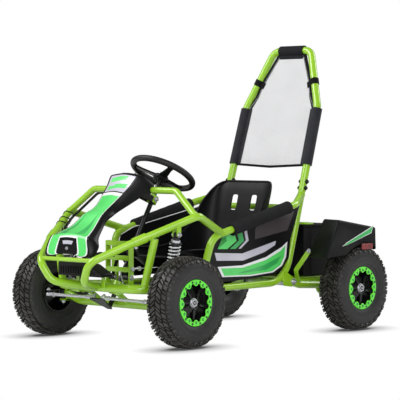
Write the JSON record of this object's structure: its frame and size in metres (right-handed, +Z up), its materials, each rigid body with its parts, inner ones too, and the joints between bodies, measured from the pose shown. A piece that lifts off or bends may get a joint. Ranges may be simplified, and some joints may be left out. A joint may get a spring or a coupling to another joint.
{
  "type": "off-road go kart",
  "caption": "Tube-frame electric go kart with bucket seat, roll bar and net, knobbly tyres, swinging front axle on coil-overs and a rear swing arm with chain drive.",
  "frame": {"origin": "on the ground under the middle of the kart's box", "axes": "+X to the kart's left, -Y forward (the way it drives), +Z up"},
  "size_m": [0.834, 1.376, 1.1194],
  "materials": {
    "frame_paint": "gloss yellow-green powder coat",
    "ring_paint": "satin bright green anodised look",
    "black_plastic": "fine-grained moulded black",
    "black_steel": "satin black paint",
    "rim_black": "semi-gloss black",
    "tyre_rubber": "matt knobbly rubber",
    "grip_rubber": "soft moulded grip",
    "foam": "charcoal foam sleeve",
    "net_cloth": "light grey mesh with dark binding",
    "cable_rubber": "black corrugated loom",
    "bright_steel": "zinc plated",
    "spring_steel": "silver-white coated wire",
    "motor_alloy": "dark cast alloy"
  },
  "bodies": {
    "frame": {"front_loop": "frame_paint", "side_rail_left": "frame_paint", "side_rail_right": "frame_paint", "front_bumper": "frame_paint", "hood_rail_left": "frame_paint", "hood_rail_right": "frame_paint", "dash_bar": "frame_paint", "side_hoop_left": "frame_paint", "side_hoop_right": "frame_paint", "rear_cross_tube": "frame_paint", "roll_bar": "frame_paint", "roll_bar_net": "net_cloth", "armrest_pad_left": "foam", "armrest_pad_right": "foam", "floor_pan": "black_steel", "seat": "black_plastic", "nose_fairing": "black_plastic", "side_panel_left": "black_plastic", "side_panel_right": "black_plastic", "pedal_bracket": "frame_paint", "controller_box": "black_plastic", "wiring_cable": "cable_rubber"},
    "steering": {"steering_wheel": "grip_rubber", "steering_column": "black_steel"},
    "brake_pedal": {"brake_pedal": "black_steel"},
    "throttle_pedal": {"throttle_pedal": "black_steel"},
    "front_axle": {"front_axle": "frame_paint"},
    "knuckle_left": {"knuckle_left": "black_steel"},
    "knuckle_right": {"knuckle_right": "black_steel"},
    "tie_rod_left": {"tie_rod_left": "bright_steel"},
    "tie_rod_right": {"tie_rod_right": "bright_steel"},
    "front_wheel_left": {"front_tyre_left": "tyre_rubber", "front_rim_left": "rim_black", "front_bead_ring_left": "ring_paint"},
    "front_wheel_right": {"front_tyre_right": "tyre_rubber", "front_rim_right": "rim_black", "front_bead_ring_right": "ring_paint"},
    "front_shock_left": {"front_shock_left_body": "black_steel", "front_shock_left_spring": "spring_steel"},
    "front_shock_right": {"front_shock_right_body": "black_steel", "front_shock_right_spring": "spring_steel"},
    "front_shock_left_rod": {"front_shock_left_rod": "bright_steel"},
    "front_shock_right_rod": {"front_shock_right_rod": "bright_steel"},
    "rear_shock": {"rear_shock_body": "black_steel", "rear_shock_spring": "spring_steel"},
    "rear_shock_rod": {"rear_shock_rod": "bright_steel"},
    "swing_arm": {"swing_arm": "frame_paint", "battery_box": "black_plastic", "motor": "motor_alloy", "drive_chain": "bright_steel", "fender_left": "black_plastic", "fender_right": "black_plastic"},
    "motor_sprocket": {"motor_sprocket": "bright_steel"},
    "rear_wheels": {"rear_axle": "black_steel", "rear_tyre_left": "tyre_rubber", "rear_tyre_right": "tyre_rubber", "rear_rim_left": "rim_black", "rear_rim_right": "rim_black", "rear_bead_ring_left": "ring_paint", "rear_bead_ring_right": "ring_paint"}
  },
  "joints": [
    {"name": "steering_turn", "type": "hinge", "parent": "frame", "child": "steering", "pos_m": [0, -0.17201, 0.616], "axis": [0, 0.5, 0.866], "range_deg": [-30, 30]},
    {"name": "knuckle_left_turn", "type": "hinge", "parent": "front_axle", "child": "knuckle_left", "pos_m": [0.29, -0.41501, 0.165], "axis": [0, 0, 1], "range_deg": [-23, 23]},
    {"name": "knuckle_right_turn", "type": "hinge", "parent": "front_axle", "child": "knuckle_right", "pos_m": [-0.29, -0.41501, 0.165], "axis": [0, 0, 1], "range_deg": [-23, 23]},
    {"name": "tie_rod_left_turn", "type": "hinge", "parent": "steering", "child": "tie_rod_left", "pos_m": [0.026, -0.50947, 0.16749], "axis": [0, 0.5, 0.866], "range_deg": [-35, 35]},
    {"name": "tie_rod_right_turn", "type": "hinge", "parent": "steering", "child": "tie_rod_right", "pos_m": [-0.026, -0.50947, 0.16749], "axis": [0, 0.5, 0.866], "range_deg": [-35, 35]},
    {"name": "brake_press", "type": "hinge", "parent": "frame", "child": "brake_pedal", "pos_m": [0.036, -0.40101, 0.236], "axis": [1, 0, 0], "range_deg": [0, 16], "stiffness_Nm_per_rad": 3, "springref_deg": -17.19},
    {"name": "throttle_press", "type": "hinge", "parent": "frame", "child": "throttle_pedal", "pos_m": [-0.036, -0.40101, 0.236], "axis": [1, 0, 0], "range_deg": [0, 16], "stiffness_Nm_per_rad": 3, "springref_deg": -17.19},
    {"name": "front_axle_swing", "type": "hinge", "parent": "frame", "child": "front_axle", "pos_m": [0, -0.49401, 0.195], "axis": [1, 0, 0], "range_deg": [0, 8], "stiffness_Nm_per_rad": 400, "springref_deg": -17.19},
    {"name": "front_wheel_left_spin", "type": "hinge", "parent": "knuckle_left", "child": "front_wheel_left", "pos_m": [0.356, -0.41501, 0.165], "axis": [1, 0, 0], "continuous": true},
    {"name": "front_wheel_right_spin", "type": "hinge", "parent": "knuckle_right", "child": "front_wheel_right", "pos_m": [-0.356, -0.41501, 0.165], "axis": [1, 0, 0], "continuous": true},
    {"name": "front_shock_left_swing", "type": "hinge", "parent": "frame", "child": "front_shock_left", "pos_m": [0.29767, -0.40601, 0.40267], "axis": [1, 0, 0], "range_deg": [-3, 1]},
    {"name": "front_shock_right_swing", "type": "hinge", "parent": "frame", "child": "front_shock_right", "pos_m": [-0.29767, -0.40601, 0.40267], "axis": [1, 0, 0], "range_deg": [-3, 1]},
    {"name": "front_shock_left_stroke", "type": "slide", "parent": "front_shock_left", "child": "front_shock_left_rod", "axis": [0.1938, 0, 0.981], "range_m": [0, 0.02], "deforming": ["front_shock_left_spring"]},
    {"name": "front_shock_right_stroke", "type": "slide", "parent": "front_shock_right", "child": "front_shock_right_rod", "axis": [-0.1938, 0, 0.981], "range_m": [0, 0.02], "deforming": ["front_shock_right_spring"]},
    {"name": "swing_arm_swing", "type": "hinge", "parent": "frame", "child": "swing_arm", "pos_m": [0, 0.32399, 0.191], "axis": [1, 0, 0], "range_deg": [0, 7], "stiffness_Nm_per_rad": 1200, "springref_deg": -14.32},
    {"name": "rear_wheels_spin", "type": "hinge", "parent": "swing_arm", "child": "rear_wheels", "pos_m": [0, 0.52299, 0.165], "axis": [1, 0, 0], "continuous": true},
    {"name": "motor_spin", "type": "hinge", "parent": "swing_arm", "child": "motor_sprocket", "pos_m": [-0.25, 0.41599, 0.2473], "axis": [1, 0, 0], "continuous": true},
    {"name": "rear_shock_swing", "type": "hinge", "parent": "frame", "child": "rear_shock", "pos_m": [0, 0.38791, 0.448], "axis": [1, 0, 0], "range_deg": [-2, 1]},
    {"name": "rear_shock_stroke", "type": "slide", "parent": "rear_shock", "child": "rear_shock_rod", "axis": [0, -0.1734, 0.9849], "range_m": [0, 0.02], "deforming": ["rear_shock_spring"]}
  ],
  "couplings": [
    {"joint": "knuckle_left_turn", "follows": "steering_turn", "ratio": 0.73},
    {"joint": "knuckle_right_turn", "follows": "steering_turn", "ratio": 0.73},
    {"joint": "tie_rod_left_turn", "follows": "steering_turn", "ratio": -1.143},
    {"joint": "tie_rod_right_turn", "follows": "steering_turn", "ratio": -1.143},
    {"joint": "front_shock_left_swing", "follows": "front_axle_swing", "ratio": -0.132},
    {"joint": "front_shock_right_swing", "follows": "front_axle_swing", "ratio": -0.132},
    {"joint": "front_shock_left_stroke", "follows": "front_axle_swing", "m_per_rad": 0.0845},
    {"joint": "front_shock_right_stroke", "follows": "front_axle_swing", "m_per_rad": 0.0845},
    {"joint": "rear_shock_swing", "follows": "swing_arm_swing", "ratio": -0.105},
    {"joint": "rear_shock_stroke", "follows": "swing_arm_swing", "m_per_rad": 0.1061},
    {"joint": "motor_spin", "follows": "rear_wheels_spin", "ratio": 3.375}
  ]
}
